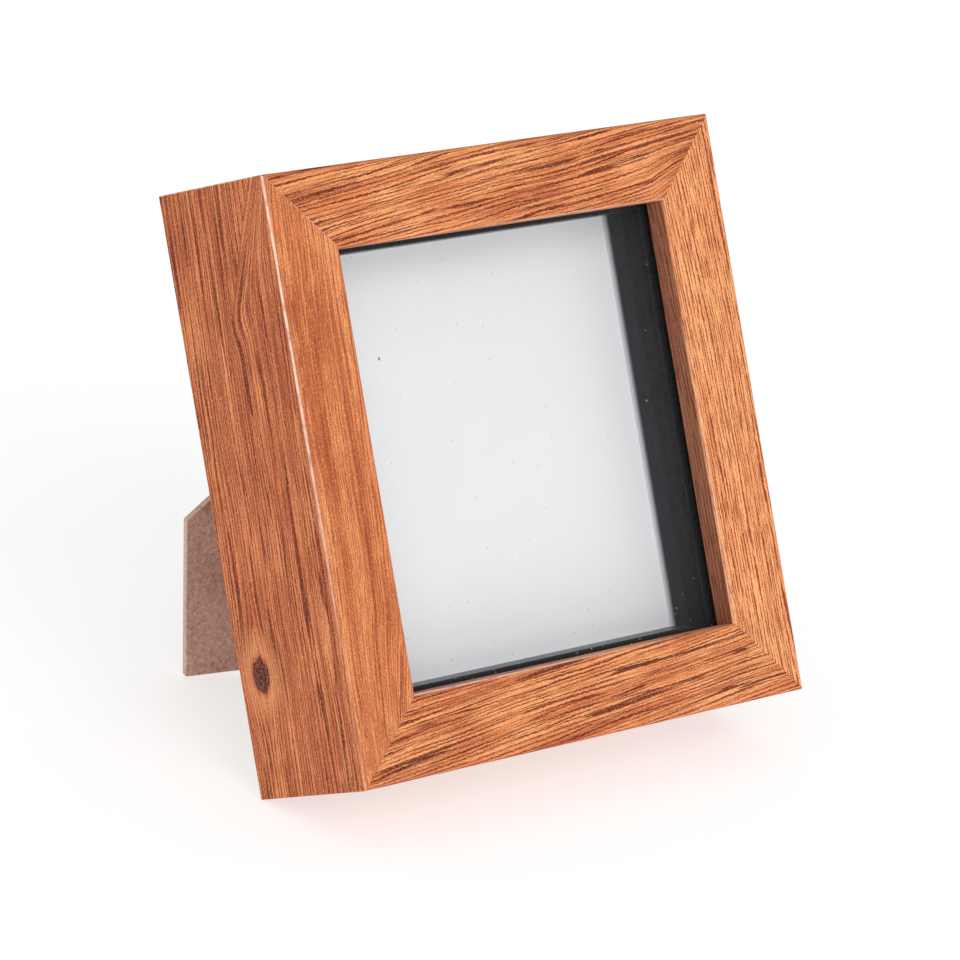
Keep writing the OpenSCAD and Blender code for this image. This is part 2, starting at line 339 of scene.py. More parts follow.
# Sizes on the print are in millimetres. A set of lines has a spacing, a thickness,
# a darkness, a shift that keeps it apart from the other sets, and a length of run.
line_sets = ((1.9, 0.15, 1.0, 7, 22), (0.95, 0.13, 0.95, 31, 22))
stroke_set = (0.95, 0.16, 1.0, 17, 6)
sway_reach = 2.2                  # how far the grain wanders
ragged_reach = 0.3                # how ragged its lines are
bend_band = (2, 16)               # across the face, where a bend sets in
bend_run = (4, 22)                # along the rail, where its lines grow bold
knot_reach = 2.6                  # the grain parts over this many half lengths
knot_push = 1.35                  # and by this many half widths
knot_fall = 0.22                  # how fast the parting dies away to the sides
knot_soft = 0.8                   # how softly it changes sides
fork_reach = 9                    # how wide the grain leans over at a fork
fork_shift = 16                   # keeps the leaning lines apart from the straight ones


class PrintedWood(Finish):
    """Foil printed like wood. Along runs from the middle of the rail, and across from its
    front corner. Roll is where on the print the rail was cut."""

    def __init__(self, name, roll):
        super().__init__(name, {"Roughness": 0.42, "Specular IOR Level": 0.12})
        place = self.add("UVMap", {}, uv_map="print")
        place = self.stretch(place, (1 / MM, 1 / MM, 1))
        self.along, self.across, _ = (self.add("SeparateXYZ", {"Vector": place}, output=axis)
                                      for axis in "XYZ")
        self.roll = (roll[0], roll[1], 0)
        self.rolled = self.stretch(place, (1, 1, 1), self.roll)

    def run_grain(self, drift, bends):
        """The grain drifts across the rail, wanders, and bends from some places on."""
        sway = self.scale(self.noise(self.stretch(self.rolled, (0.012, 0.03, 1))),
                          0, 1, -sway_reach, sway_reach)
        ragged = self.scale(self.noise(self.stretch(self.rolled, (0.8, 1.1, 1)), detail=3),
                            0, 1, -ragged_reach, ragged_reach)
        self.level = self.plus(self.times(self.along, -drift),
                               self.plus(self.across, self.plus(sway, ragged)))
        self.bold = 0.0
        for start, slope in bends:
            past = self.math("MAXIMUM" if start > 0 else "MINIMUM",
                             self.minus(self.along, start), 0.0)
            inside = self.fade(self.across, *bend_band)
            self.level = self.plus(self.level, self.times(past, -slope, inside))
            self.bold = self.times(inside, self.fade(self.distance(past), *bend_run))

    def part_at_knot(self, knot_along, knot_across, half_length, half_width):
        """The grain parts round the knot and closes again behind it."""
        from_along = self.minus(self.along, knot_along)
        from_across = self.minus(self.across, knot_across)
        lengths = self.math("DIVIDE", from_along, half_length)
        widths = self.math("DIVIDE", from_across, half_width)
        self.ring = self.math("SQRT", self.plus(self.times(lengths, lengths),
                                                self.times(widths, widths)))
        reach = self.math("DIVIDE", from_along, knot_reach * half_length)
        reach = self.math("EXPONENT", self.times(reach, reach, -1.0))
        side = self.math("DIVIDE", from_across,
                         self.plus(self.distance(from_across), knot_soft))
        near = self.math("EXPONENT", self.times(self.distance(from_across), -knot_fall))
        push = self.times(reach, side, self.times(near, -knot_push * half_width))
        self.level = self.plus(self.level, push)

    def lean_at_fork(self, fork_along, fork_across, slope):
        """Below a branch the grain leans over and runs into the straight grain."""
        past_seam = self.plus(self.minus(self.across, fork_across),
                              self.times(self.minus(self.along, fork_along), slope))
        share = self.times(self.fade(past_seam, fork_reach, 1), self.fade(past_seam, -0.3, 0.3),
                           self.fade(self.along, fork_along + 8, fork_along - 6))
        leaning = self.minus(self.minus(past_seam, fork_shift), self.across)
        self.level = self.plus(self.level, self.times(share, leaning))

    def lay_grain(self):
        """The place on the print, along and across the grain as it now runs."""
        grain = self.add("CombineXYZ", {"X": self.along, "Y": self.level, "Z": self.roll[0]})
        self.grain = self.stretch(grain, (1, 1, 1), self.roll)

    def growth_bands(self, bands, shaded_side_tone, face_tone):
        """Soft bands of darker and lighter growth, under the lines, with painted shade on the outer
        side.
        """
        band = self.noise(self.stretch(self.grain, (0.012, 0.3, 1)), detail=4, roughness=0.6)
        cloud = self.noise(self.stretch(self.rolled, (0.045, 0.12, 1)), detail=3)
        depth = self.plus(self.times(self.minus(band, 0.5), bands),
                          self.times(self.minus(cloud, 0.5), bands * 0.7))
        # Painted shade: the outer side takes a darker, redder place on the ramp than the face.
        tone_and_side_shade = self.fade(self.across, -1, 0.5, shaded_side_tone, face_tone)
        return self.ramp(self.plus(depth, tone_and_side_shade), [(0.1, foil_red), (0.5, foil_orange),
                                                  (0.85, foil_light)])

    def grain_lines(self, spacing, thickness, darkness, shift, run):
        """Dark lines at an even spacing, each fading in and out."""
        jitter = self.scale(self.noise(self.stretch(self.grain, (0.012, 0.35, 1), (shift, 3, 0))),
                            0, 1, -1.6 * spacing, 1.6 * spacing)
        phase = self.math("FRACT", self.math("DIVIDE", self.plus(self.level, jitter), spacing))
        off_line = self.times(self.distance(phase, 0.5), spacing)
        breaks = self.noise(self.stretch(self.grain, (1 / run, 0.75 / spacing ** 0.5, 1),
                                         (shift, 9, 0)), detail=3, roughness=0.6)
        width = self.scale(breaks, 0.35, 0.7, 0.6 * thickness, 1.4 * thickness)
        return self.times(self.fade(self.math("DIVIDE", off_line, width), 1.2, 0.6),
                          self.fade(breaks, 0.36, 0.5, 0.0, darkness))

    def draw_lines(self, wood, side_lines, face_lines):
        """Long dark lines. They are boldest where the grain bends."""
        strength = self.math("MAXIMUM", self.fade(self.across, -1, 1, side_lines, face_lines),
                             self.times(self.bold, 0.9))
        self.line = 0.0
        for line_set in line_sets:
            self.line = self.math("MAXIMUM", self.line, self.grain_lines(*line_set))
        return self.tint(self.times(self.line, strength), wood, foil_dark)

    def draw_strokes(self, wood, strength):
        """Short strokes of dark fibre, and softer ones between them."""
        fibre = self.noise(self.stretch(self.grain, (0.15, 2.5, 1), (4, 1, 0)), detail=2)
        self.stroke = self.math("MAXIMUM", self.grain_lines(*stroke_set),
                                self.fade(fibre, 0.5, 0.62, 0.0, 0.6))
        return self.tint(self.times(self.stroke, strength), wood, foil_stroke)

    def draw_knot(self, wood):
        """A dark knot of close rings, with paler wood round it."""
        halo = self.times(self.fade(self.ring, 3.2, 1.3), self.fade(self.ring, 0.95, 1.5), 0.4)
        wood = self.tint(halo, wood, foil_light)
        rough = self.noise(self.stretch(self.rolled, (0.8, 0.8, 1)), detail=3)
        rough_ring = self.plus(self.ring, self.scale(rough, 0, 1, -0.35, 0.35))
        rings = self.scale(self.math("SINE", self.times(rough_ring, 16.0)), -1, 1, 0.7, 1.0)
        return self.tint(self.times(self.fade(rough_ring, 1.15, 0.85), rings), wood, knot_brown)

    def speckle(self, wood):
        """Fine speckle of the print, with pale flecks painted as highlights on the embossing."""
        self.grit = self.noise(self.stretch(self.rolled, (2.6, 3.6, 1)), detail=3, roughness=0.75)
        shade = self.scale(self.grit, 0.3, 0.7, 0.5, 1.5)
        wood = self.tint(1.0, wood, self.add("CombineXYZ", {"X": shade, "Y": shade, "Z": shade}),
                         blend="MULTIPLY")
        # Painted highlights: pale flecks where the embossing would catch the light.
        flecks = self.noise(self.stretch(self.rolled, (1.4, 4.2, 1), (8, 2, 0)), detail=2,
                            roughness=0.6)
        return self.tint(self.fade(flecks, 0.52, 0.74, 0.0, 0.3), wood, foil_wear_and_highlight)

    def paint_lip_shade(self, wood, lip_shade):
        """Painted shade: the print is darkened where it goes round into the lip, for the shade inside
        it.
        """
        deep = self.fade(self.across, face_w / MM + 0.3, face_w / MM + 1.2, 0.0, 1 - lip_shade)
        return self.tint(deep, wood, lip_shade_brown)

    def wear_and_highlight_edges(self, wood, mitre, edge_wear_and_highlight):
        """Pale lines at the saw cut, and along both edges, where foil wear is painted together with a
        highlight.
        """
        inner = self.math("MINIMUM", self.math("MAXIMUM", self.across, 0.0), face_w / MM)
        to_mitre = self.minus(self.minus(frame_side / 2 / MM, self.distance(self.along)), inner)
        wear_and_highlight_breaks = self.noise(self.stretch(self.rolled, (0.3, 0.3, 1), (5, 5, 0)), detail=3)
        cut_line = self.times(self.fade(to_mitre, 0.3, 0.1), self.fade(wear_and_highlight_breaks, 0.35, 0.6),
                              self.fade(self.along, 20, -20, 0.15, 1.0), mitre)
        wood = self.tint(cut_line, wood, foil_wear_and_highlight)
        # Each edge's pale line is partly foil wear and partly a painted highlight, strongest towards
        # one end.
        for edge, strength in zip((-0.3, face_w / MM + 0.1), edge_wear_and_highlight):
            off_edge = self.distance(self.across, edge)
            wear_and_highlight_share = self.times(self.fade(off_edge, 0.62, 0.15),
                               self.fade(wear_and_highlight_breaks, 0.3, 0.6, 0.45, 1.0), strength,
                               self.fade(self.along, 45, -25, 0.12, 1.0))
            wood = self.tint(wear_and_highlight_share, wood, foil_wear_and_highlight)
        return wood

    def emboss(self):
        """The foil is pressed with its own figure, so the lines lie a little deeper."""
        self.set("Roughness", self.plus(self.times(self.line, 0.2),
                                        self.scale(self.grit, 0.3, 0.7, 0.34, 0.46)))
        pressed = self.plus(self.times(self.line, 0.8), self.times(self.stroke, 0.5))
        self.bump(self.minus(self.times(self.grit, 0.5), pressed), 0.06, 0.7)


def printed_wood(name, roll, drift, lines, strokes, bands, tone_and_side_shade, mitre=0.0, bends=(), fork=None,
                 knot=None, edge_wear_and_highlight=(0, 0), lip_shade=1):
    """One rail's print. Lines and tone_and_side_shade have a value for the outer side and one
    for the face; the side's value of the latter is darker, painted shade on the outer side.
    Drift is how far the grain slants, and each of the bends has a place and a slope. Fork is
    a place and a slope, knot is a place and a size, and edge_wear_and_highlight gives the two
    edges' foil wear together with a painted highlight. Lip shade below 1 paints shade inside
    the lip."""
    foil = PrintedWood(name, roll)
    foil.run_grain(drift, bends)
    if knot:
        foil.part_at_knot(*knot)
    if fork:
        foil.lean_at_fork(*fork)
    foil.lay_grain()
    wood = foil.growth_bands(bands, *tone_and_side_shade)
    wood = foil.draw_lines(wood, *lines)
    wood = foil.draw_strokes(wood, strokes)
    if knot:
        wood = foil.draw_knot(wood)
    wood = foil.speckle(wood)
    # Painted shade inside the lip, on rails whose lip shade is below 1.
    if lip_shade < 1:
        wood = foil.paint_lip_shade(wood, lip_shade)
    foil.set("Base Color", foil.wear_and_highlight_edges(wood, mitre, edge_wear_and_highlight))
    foil.emboss()
    return foil.material


rail_prints = {
    "left": printed_wood("left foil", (310, 40), drift=-0.03, lines=(0.9, 0.3), strokes=0.7,
                         bands=1.1, tone_and_side_shade=(0.40, 0.48), mitre=0.6, bends=((30, -0.22),),
                         fork=(-36.4, -19, 0.47), knot=(39.9, -28.8, 3.8, 2.7),
                         edge_wear_and_highlight=(0.85, 0)),
    "right": printed_wood("right foil", (120, 95), drift=0.03, lines=(0.6, 0.3), strokes=1.0,
                          bands=0.7, tone_and_side_shade=(0.5, 0.79), edge_wear_and_highlight=(0, 0.25), lip_shade=0.25),
    "top": printed_wood("top foil", (540, 150), drift=0.1, lines=(0.9, 0.95), strokes=0.52, bands=1.4,
                        tone_and_side_shade=(0.47, 0.57), bends=((-46, 0.3),), edge_wear_and_highlight=(0, 0.35)),
    "bottom": printed_wood("bottom foil", (760, 210), drift=0.1, lines=(0.9, 0.95), strokes=0.52,
                           bands=1.5, tone_and_side_shade=(0.47, 0.55), edge_wear_and_highlight=(0, 0.7)),
}
foil_pattern = wrap_foil()
for side, turn in (("left", LEFT), ("right", RIGHT), ("top", TOP), ("bottom", BOTTOM)):
    foil_piece = foil_pattern.copy()
    foil_piece.data = foil_pattern.data.copy()
    foil_piece.name = side + "_printed_foil"
    bpy.context.collection.objects.link(foil_piece)
    settle(foil_piece, lean_back @ to_side(turn))
    fit(foil_piece, side + "_foil", "case", rail_prints[side])
bpy.data.objects.remove(foil_pattern)

# ---------------------------------------------------------------------------
# Fibreboard mouldings. The four rails are milled from medium-density board and
# glued at the mitres. Their raw board shows only at the back and in the rebate.
# ---------------------------------------------------------------------------
def raw_fibreboard():
    """Pale matt board, mottled by its fibres."""
    board = Finish("raw fibreboard", {"Roughness": 0.85, "Specular IOR Level": 0.25})
    place = board.object_place()
    fibres = board.noise(board.stretch(place, (1.6, 1.6, 1.6)), detail=5, roughness=0.7)
    patches = board.noise(board.stretch(place, (0.06, 0.06, 0.06)), detail=2)
    mixed = board.plus(board.times(fibres, 0.75), board.times(patches, 0.3))
    board.set("Base Color", board.ramp(mixed, [
        (0.30, colour(158, 124, 96)), (0.52, colour(201, 168, 136)),
        (0.75, colour(225, 198, 168))]))
    board.bump(fibres, 0.09, 0.6)
    return board.material


def refinish(node, finish):
    """Gives a CAD node that stays its own finish."""
    materials = frame["nodes"][node].data.materials
    materials.clear()
    materials.append(finish)


fibreboard = raw_fibreboard()
for node in ("left_stile", "right_stile", "top_rail", "bottom_rail"):
    refinish(node, fibreboard)

# ---------------------------------------------------------------------------
# V-nails. Two folded strips of zinc-plated steel are pressed across each mitre
# from the back, so only their thin V-shaped ends show.
# ---------------------------------------------------------------------------
def plated_steel(name, bright, dull, roughness, scratch):
    """Steel with a mottled plating and fine scratches, whose depth is in millimetres."""
    steel = Finish(name, {"Metallic": 1.0})
    place = steel.object_place()
    bloom = steel.noise(steel.stretch(place, (0.35, 0.35, 0.35)), detail=4)
    scratches = steel.noise(steel.stretch(place, (0.4, 6, 6)), detail=3, roughness=0.65)
    steel.set("Base Color", steel.tint(steel.fade(bloom, 0.35, 0.65), dull, bright))
    steel.set("Roughness", steel.plus(steel.scale(bloom, 0.3, 0.7, -0.06, 0.08),
                                      steel.scale(scratches, 0.3, 0.7, roughness - 0.05,
                                                  roughness + 0.07)))
    steel.bump(scratches, scratch, 0.5)
    return steel.material


refinish("corner_v_nails", plated_steel("nail steel", colour(196, 197, 200),
                                        colour(140, 139, 140), 0.38, 0.02))

# ---------------------------------------------------------------------------
# Glass. A 2 mm pane rests behind the lips. Its edges are ground, and it
# carries a few specks of dust.
# ---------------------------------------------------------------------------
def clear_glass():
    """Clear glass with a weak reflection, and specks of dust lying on it."""
    glass = Finish("clear glass", {"Roughness": 0.3, "Base Color": colour(232, 233, 235)})
    tree = glass.tree
    place = glass.object_place()
    specks = glass.add("TexVoronoi", {"Vector": glass.stretch(place, (0.22, 0.22, 0.22)),
                                      "Scale": 1.0, "Randomness": 1.0}, output="Distance")
    dust = glass.fade(specks, 0.045, 0.03)
    clear = tree.nodes.new("ShaderNodeBsdfTransparent")
    clear.inputs["Color"].default_value = (0.992, 0.994, 0.993, 1)
    gloss = tree.nodes.new("ShaderNodeBsdfGlossy")
    gloss.inputs["Roughness"].default_value = 0.03
    fresnel = glass.add("Fresnel", {"IOR": 1.2})
    pane = tree.nodes.new("ShaderNodeMixShader")
    tree.links.new(fresnel, pane.inputs[0])
    tree.links.new(clear.outputs[0], pane.inputs[1])
    tree.links.new(gloss.outputs[0], pane.inputs[2])
    dusty = tree.nodes.new("ShaderNodeMixShader")
    tree.links.new(glass.times(dust, 0.5), dusty.inputs[0])
    tree.links.new(pane.outputs[0], dusty.inputs[1])
    tree.links.new(glass.shader.outputs[0], dusty.inputs[2])
    tree.links.new(dusty.outputs[0], tree.nodes["Material Output"].inputs["Surface"])
    return glass.material


ground_edge = 0.25 * MM
pane = block("ground_glass_pane", *upright("glass_pane"))
shape(pane)
pick("EDGE", lambda place, run: True)
bpy.ops.mesh.bevel(offset=ground_edge, segments=2)
shaped()
smooth(pane)
settle(pane, lean_back)
fit(pane, "glass_pane", "case", clear_glass())

# ---------------------------------------------------------------------------
# Spacers. Four strips of board wrapped in black film hold the card off the
# glass. Where each strip stands on the card, a pale band of painted light
# from the white card fades up the film.
# ---------------------------------------------------------------------------
def black_film():
    """Black film with a pale band of painted light from the card at its foot, and dust low down on
    the walls.
    """
    film = Finish("black film", {"Roughness": 0.35, "Specular IOR Level": 0.07})
    place = film.object_place()
    card_face = upright("insert_card")[0].y
    # Height over the card: the card's face leans with the frame.
    card_place = lean_back @ Vector((0, card_face, 0))
    card_normal = (lean_back.to_3x3() @ Vector((0, -1, 0))).normalized()
    offset = -card_place.dot(card_normal) / MM
    over_card = film.plus(film.add("VectorMath", {0: place, 1: card_normal}, output="Value",
                                   operation="DOT_PRODUCT"), offset)
    weave = film.noise(film.stretch(place, (2.4, 2.4, 2.4)), detail=4, roughness=0.7)
    black = film.ramp(weave, [(0.3, colour(32, 34, 38)), (0.5, colour(41, 43, 47)),
                              (0.72, colour(56, 58, 62))])
    # Painted light from the white card: near white at the card, fading to black 2.4 mm up.
    card_light_band = film.fade(over_card, 2.4, 0.2)
    black = film.tint(film.times(card_light_band, 0.95), black, colour(236, 236, 238))
    specks = film.add("TexVoronoi", {"Vector": film.stretch(place, (0.8, 0.8, 0.8)),
                                     "Scale": 1.0}, output="Distance")
    height = film.add("SeparateXYZ", {"Vector": place}, output="Z")
    low = film.times(film.fade(height, 36, 27),
                     film.fade(film.noise(film.stretch(place, (0.5, 0.5, 0.5))), 0.46, 0.58))
    dust = film.times(film.fade(specks, 0.2, 0.12), low, 0.8)
    black = film.tint(dust, black, colour(214, 216, 220))
    film.set("Base Color", black)
    film.set("Roughness", film.scale(weave, 0.3, 0.7, 0.22, 0.36))
    film.bump(weave, 0.02, 0.5)
    return film.material


film_black = black_film()
spacer_edge = 0.35 * MM
for side in ("left", "right", "top", "bottom"):
    strip = block("film_spacer_" + side, *upright("spacer_" + side))
    shape(strip)
    pick("EDGE", lambda place, run: abs(run.y) < 0.5)
    bpy.ops.mesh.bevel(offset=spacer_edge, segments=4)
    shaped()
    smooth(strip)
    settle(strip, lean_back)
    fit(strip, "spacer_" + side, "case", film_black)

# ---------------------------------------------------------------------------
# Insert card. A blank white mount board lies on the back panel.
# ---------------------------------------------------------------------------
def white_card():
    """White paper on board, with a few dark specks."""
    card = Finish("white board", {"Roughness": 0.7, "Specular IOR Level": 0.3})
    place = card.object_place()
    fibres = card.noise(card.stretch(place, (1.2, 1.2, 1.2)), detail=5, roughness=0.65)
    shade = card.noise(card.stretch(place, (0.02, 0.02, 0.02)), detail=2)
    mixed = card.plus(card.times(fibres, 0.5), card.times(shade, 0.5))
    paper = card.ramp(mixed, [(0.35, colour(244, 244, 246)), (0.65, colour(249, 249, 251))])
    specks = card.add("TexVoronoi", {"Vector": card.stretch(place, (0.055, 0.055, 0.055)),
                                     "Scale": 1.0}, output="Distance")
    paper = card.tint(card.times(card.fade(specks, 0.03, 0.015), 0.8), paper,
                      colour(70, 68, 72))
    card.set("Base Color", paper)
    card.bump(fibres, 0.02, 0.4)
    return card.material


card_edge = 0.1 * MM
card = block("white_insert_card", *upright("insert_card"))
shape(card)
pick("EDGE", lambda place, run: True)
bpy.ops.mesh.bevel(offset=card_edge, segments=2)
shaped()
smooth(card)
settle(card, lean_back)
fit(card, "insert_card", "case", white_card())

# ---------------------------------------------------------------------------
# Hardboard back panel and strut. Both are sawn from brown hardboard: pressed
# fibre with dark flecks, and a paler edge where the saw has opened it.
# ---------------------------------------------------------------------------
def brown_hardboard(name, deep, mid, pale):
    """Pressed brown fibre with dark flecks."""
    board = Finish(name, {"Roughness": 0.62, "Specular IOR Level": 0.3})
    place = board.object_place()
    fibres = board.noise(board.stretch(place, (1.1, 1.1, 1.1)), detail=5, roughness=0.72)
    patches = board.noise(board.stretch(place, (0.07, 0.07, 0.07)), detail=3)
    mixed = board.plus(board.times(fibres, 0.7), board.times(patches, 0.3))
    brown = board.ramp(mixed, [(0.36, deep), (0.5, mid), (0.66, pale)])
    flecks = board.noise(board.stretch(place, (1.6, 1.6, 1.6), (9, 9, 9)), detail=2)
    brown = board.tint(board.times(board.fade(flecks, 0.66, 0.76), 0.6), brown,
                       colour(74, 48, 38))
    board.set("Base Color", brown)
    board.set("Roughness", board.scale(fibres, 0.3, 0.7, 0.55, 0.75))
    board.bump(fibres, 0.08, 0.6)
    return board.material


panel_brown = brown_hardboard("hardboard", colour(138, 100, 88), colour(176, 136, 122),
                              colour(203, 167, 152))
sawn_edge = brown_hardboard("sawn hardboard edge", colour(172, 142, 120), colour(200, 172, 150),
                            colour(218, 194, 174))
board_edge = 0.3 * MM


def saw_board(piece):
    """Rounds the sawn edges of a flat board a little and gives them their paler finish."""
    shape(piece)
    pick("EDGE", lambda place, run: True)
    bpy.ops.mesh.bevel(offset=board_edge, segments=2)
    shaped()
    smooth(piece)
    piece.data.materials.append(panel_brown)
    piece.data.materials.append(sawn_edge)
    for face in piece.data.polygons:
        face.material_index = 0 if abs(face.normal.y) > 0.9 else 1


panel = block("hardboard_back_panel", *upright("back_panel"))
saw_board(panel)
settle(panel, lean_back)
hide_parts("back_panel")
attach(panel, "case")

# Hinge space: X along the pin, Y out of the back, Z away from the foot.
hinge_turn = math.radians(45)     # the hinge runs across a corner of the back
strut_taper = math.radians(6)     # each side of the strut narrows towards the hinge
pin_place = stand_up @ Vector(joints["strut_hinge"]["pos_m"])
open_angle = math.radians(joints["strut_hinge"]["range_deg"][1])
at_pin = Matrix.Translation(pin_place) @ Matrix.Rotation(hinge_turn, 4, "Y")
at_open_strut = at_pin @ Matrix.Rotation(open_angle, 4, "X")

to_strut = at_open_strut.inverted() @ stand_up
strut_low, strut_high = corners_of("strut_leg", to_strut)
shoulder_half = strut_high.x
strut_length = -strut_low.z
shoulder_z = shoulder_half - strut_length

strut = block("hardboard_strut", strut_low, strut_high)
shape(strut)
for side in (-1, 1):
    cut_off((0, 0, -strut_length), (side, 0, -1))
    cut_off((side * shoulder_half, 0, shoulder_z),
            (side * math.cos(strut_taper), 0, math.sin(strut_taper)))
shaped()
saw_board(strut)
settle(strut, lean_back @ at_open_strut)
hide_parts("strut_leg")
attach(strut, "strut")

# ---------------------------------------------------------------------------
# Strut hinge. Two leaves of plated steel are rolled into knuckles round one
# pin. The fixed leaf is riveted to the panel and the moving leaf to the strut,
# and a heel on the moving leaf stops the strut when it is fully open.
# ---------------------------------------------------------------------------
hinge_steel = plated_steel("hinge steel", colour(206, 203, 197), colour(176, 172, 164), 0.3, 0.03)
rivet_steel = plated_steel("rivet steel", colour(214, 212, 206), colour(186, 182, 174), 0.24, 0.02)
pressed_edge = 0.09 * MM
merge_gap = 0.001 * MM            # joins the loose triangles of a CAD node


def press_edges(node, body, finish):
    """A pressed steel piece with the broken edges that the press leaves."""
    piece = frame["nodes"][node].copy()
    piece.data = frame["nodes"][node].data.copy()
    piece.name = "pressed_" + node
    piece.parent = None
    for key in list(piece.keys()):
        del piece[key]
    bpy.context.collection.objects.link(piece)
    shape(piece)
    bpy.ops.mesh.remove_doubles(threshold=merge_gap)
    bpy.ops.mesh.dissolve_limited(angle_limit=math.radians(1))
    shaped()
    apply(piece, "BEVEL", width=pressed_edge, segments=2, limit_method="ANGLE",
          angle_limit=math.radians(40))
    smooth(piece)
    fit(piece, node, body, finish)


press_edges("hinge_fixed_leaf", "case", hinge_steel)
press_edges("hinge_moving_leaf", "strut", hinge_steel)
press_edges("hinge_pin", "case", hinge_steel)

rivet_head_r = 1.7 * MM
rivet_head_h = 0.6 * MM
rivet_shank_r = 1.1 * MM
rivet_head_round = 0.75 * rivet_head_h
rivet_hollow_r = 0.75 * MM
clinch = 0.2 * MM                 # how far the set end stands out


def make_rivet(grip):
    """A tubular rivet along +Y: the head lies past the grip, and the end is set at 0."""
    bpy.ops.object.select_all(action="DESELECT")
    bpy.ops.mesh.primitive_cylinder_add(vertices=40, radius=rivet_head_r, depth=rivet_head_h,
                                        location=(0, grip + rivet_head_h / 2, 0),
                                        rotation=(-math.pi / 2, 0, 0))
    rivet = bpy.context.object
    settle(rivet, Matrix.Identity(4))
    shape(rivet)
    pick("EDGE", lambda place, run: place.y > grip + rivet_head_h * 0.9)
    bpy.ops.mesh.bevel(offset=rivet_head_round, segments=5, profile=0.6)
    pick("FACE", lambda place, normal: normal.y > 0.99)
    bpy.ops.mesh.inset(thickness=rivet_head_r - rivet_head_round - rivet_hollow_r)
    bpy.ops.mesh.extrude_region_move(TRANSFORM_OT_translate={"value": (0, -rivet_head_h, 0)})
    pick("FACE", lambda place, normal: normal.y < -0.99)
    bpy.ops.mesh.inset(thickness=rivet_head_r - rivet_shank_r)
    bpy.ops.mesh.extrude_region_move(
        TRANSFORM_OT_translate={"value": (0, -grip - clinch, 0)})
    bpy.ops.mesh.inset(thickness=rivet_shank_r - rivet_hollow_r)
    bpy.ops.mesh.extrude_region_move(TRANSFORM_OT_translate={"value": (0, 2 * clinch, 0)})
    shaped()
    smooth(rivet)
    return rivet


def set_rivets(name, node, body, grip, places):
    """Sets one rivet at each place. A place is a matrix in the upright frame."""
    pattern = make_rivet(grip)
    parts = []
    for place in places:
        part = pattern.copy()
        part.data = pattern.data.copy()
        bpy.context.collection.objects.link(part)
        settle(part, lean_back @ place)
        parts.append(part)
    bpy.data.objects.remove(pattern)
    bpy.ops.object.select_all(action="DESELECT")
    for part in parts:
        part.select_set(True)
    bpy.context.view_layer.objects.active = parts[0]
    if len(parts) > 1:
        bpy.ops.object.join()
    piece = bpy.context.object
    piece.name = name
    fit(piece, node, body, rivet_steel)


def rivet_places(node, space):
    """Where a pair of rivets stands in hinge space, either side of the middle."""
    low, high = corners_of(node, space.inverted() @ stand_up)
    offset = high.x - rivet_head_r
    level = (low.z + high.z) / 2
    base = low.y
    grip = high.y - low.y - rivet_head_h
    return grip, [space @ Matrix.Translation((side * offset, base, level)) for side in (-1, 1)]


panel_grip, panel_places = rivet_places("hinge_panel_rivets", at_pin)
set_rivets("tubular_panel_rivets", "hinge_panel_rivets", "case", panel_grip, panel_places)
strut_grip, strut_places = rivet_places("hinge_strut_rivets", at_open_strut)
set_rivets("tubular_strut_rivets", "hinge_strut_rivets", "strut", strut_grip, strut_places)

# ---------------------------------------------------------------------------
# Retaining tabs. Flexible strips of grey steel are driven into the rebate wall,
# and their free ends bend over the panel to hold it in.
# ---------------------------------------------------------------------------
tab_steel = plated_steel("tab steel", colour(150, 151, 154), colour(104, 104, 108), 0.42, 0.03)
for side in ("left", "right", "top", "bottom"):
    press_edges("tab_" + side, "tab_" + side, tab_steel)
refinish("tab_roots", tab_steel)

# ---------------------------------------------------------------------------
# Wall hanger. A strap is rolled round the top wire of a triangular ring and
# riveted to the panel. The ring is bent from steel wire and swings freely.
# ---------------------------------------------------------------------------
press_edges("hanger_strap", "case", hinge_steel)
hanger_low, hanger_high = upright("hanger_rivet")
hanger_grip = hanger_high.y - hanger_low.y - rivet_head_h
hanger_place = Matrix.Translation((0, hanger_low.y, (hanger_low.z + hanger_high.z) / 2))
set_rivets("tubular_hanger_rivet", "hanger_rivet", "case", hanger_grip, [hanger_place])

ring_low, ring_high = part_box("hanger_ring")
wire_r = (ring_high.y - ring_low.y) / 2
wire_bend = 1.1 * MM


def bend_ring():
    """The wire's middle line is a triangle with rounded corners, hanging straight down."""
    half = ring_high.x - wire_r
    height = ring_high.z - ring_low.z - 2 * wire_r
    bpy.ops.object.select_all(action="DESELECT")
    bpy.ops.mesh.primitive_circle_add(vertices=3, radius=1, rotation=(math.pi / 2, 0, 0))
    ring = bpy.context.object
    ring.name = "bent_wire_ring"
    settle(ring, Matrix.Identity(4))
    corners = sorted(ring.data.vertices, key=lambda vertex: vertex.co.x)
    for corner, place in zip(corners, ((-half, 0, 0), (0, 0, -height), (half, 0, 0))):
        corner.co = place
    shape(ring)
    bpy.ops.mesh.bevel(offset=wire_bend, segments=6, affect="VERTICES")
    shaped()
    bpy.ops.object.convert(target="CURVE")
    ring = bpy.context.object
    ring.data.bevel_depth = wire_r
    ring.data.bevel_resolution = 6
    bpy.ops.object.convert(target="MESH")
    ring = bpy.context.object
    settle(ring, Matrix.Translation(joints["hanger_swing"]["pos_m"]))
    smooth(ring, 60)
    return ring


wire_steel = plated_steel("wire steel", colour(212, 210, 204), colour(158, 154, 146), 0.26, 0.02)
fit(bend_ring(), "hanger_ring", "hanger", wire_steel)

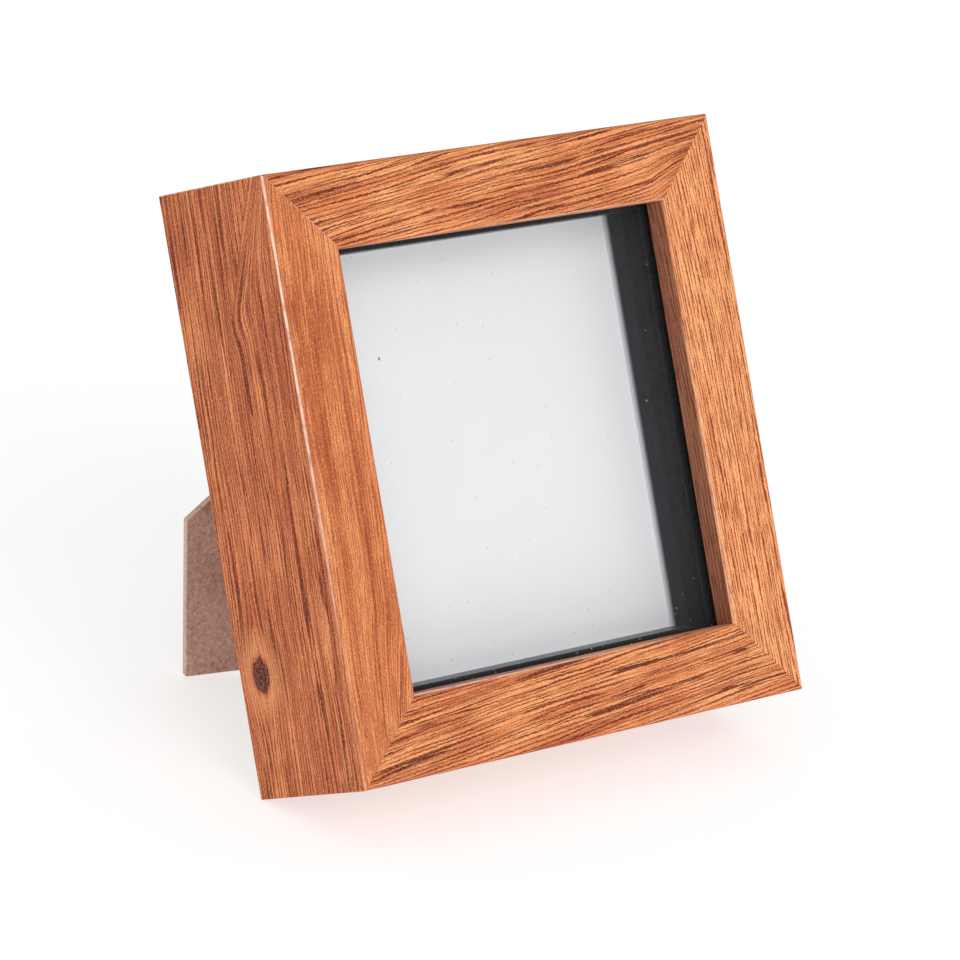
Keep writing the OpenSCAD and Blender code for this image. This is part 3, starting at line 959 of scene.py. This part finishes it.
# ---------------------------------------------------------------------------
# The setting: a pale table, soft light and the camera. The key light is in
# front, and a cooler fill comes from the left.
# ---------------------------------------------------------------------------
table_size = 12
table_shade = 0.5
table_glow = 0.6
room_light = 0.62
bpy.ops.object.select_all(action="DESELECT")
bpy.ops.mesh.primitive_plane_add(size=table_size)
table = bpy.context.object
table.name = "table"
table_top = bpy.data.materials.new("pale table")
table_top.use_nodes = True
table_sockets = table_top.node_tree.nodes["Principled BSDF"].inputs
table_sockets["Base Color"].default_value = (table_shade, table_shade, table_shade, 1)
table_sockets["Roughness"].default_value = 0.9
table_sockets["Emission Color"].default_value = (1, 1, 1, 1)
table_sockets["Emission Strength"].default_value = table_glow
table.data.materials.append(table_top)

world = bpy.data.worlds.new("studio")
bpy.context.scene.world = world
world.use_nodes = True
world.node_tree.nodes["Background"].inputs["Color"].default_value = (1, 1, 1, 1)
world.node_tree.nodes["Background"].inputs["Strength"].default_value = room_light


def far_light(name, azimuth, elevation, spread, strength, tint):
    """Soft light from far away. Azimuth 0 is in front, and 90 on the right."""
    azimuth, elevation = math.radians(azimuth), math.radians(elevation)
    away = Vector((math.sin(azimuth) * math.cos(elevation),
                   -math.cos(azimuth) * math.cos(elevation), math.sin(elevation)))
    light = bpy.data.lights.new(name, "SUN")
    light.angle = math.radians(spread)
    light.energy = strength
    light.color = tint
    lamp = bpy.data.objects.new(name, light)
    bpy.context.collection.objects.link(lamp)
    lamp.matrix_world = (-away).to_track_quat("-Z", "Y").to_matrix().to_4x4()


far_light("key", azimuth=-12, elevation=30, spread=50, strength=1.1, tint=(1, 1, 1))
far_light("left fill", azimuth=-58, elevation=16, spread=50, strength=0.62, tint=(0.92, 0.96, 1))

view_azimuth = math.radians(-45.08)
view_elevation = math.radians(20.81)
view_roll = math.radians(8.85)
view_distance = 1302.8 * MM
view_lens = 217.65
view_sensor = 36.0
view_target = Vector((-1.25, -2.85, 60.52)) * MM
view_back = Vector((math.sin(view_azimuth) * math.cos(view_elevation),
                    -math.cos(view_azimuth) * math.cos(view_elevation),
                    math.sin(view_elevation)))
camera = bpy.data.objects.new("camera", bpy.data.cameras.new("camera"))
bpy.context.collection.objects.link(camera)
camera.matrix_world = (Matrix.Translation(view_target + view_back * view_distance)
                       @ (-view_back).to_track_quat("-Z", "Y").to_matrix().to_4x4()
                       @ Matrix.Rotation(view_roll, 4, "Z"))
camera.data.lens = view_lens
camera.data.sensor_width = view_sensor
bpy.context.scene.camera = camera
bpy.context.scene.view_settings.view_transform = "Standard"
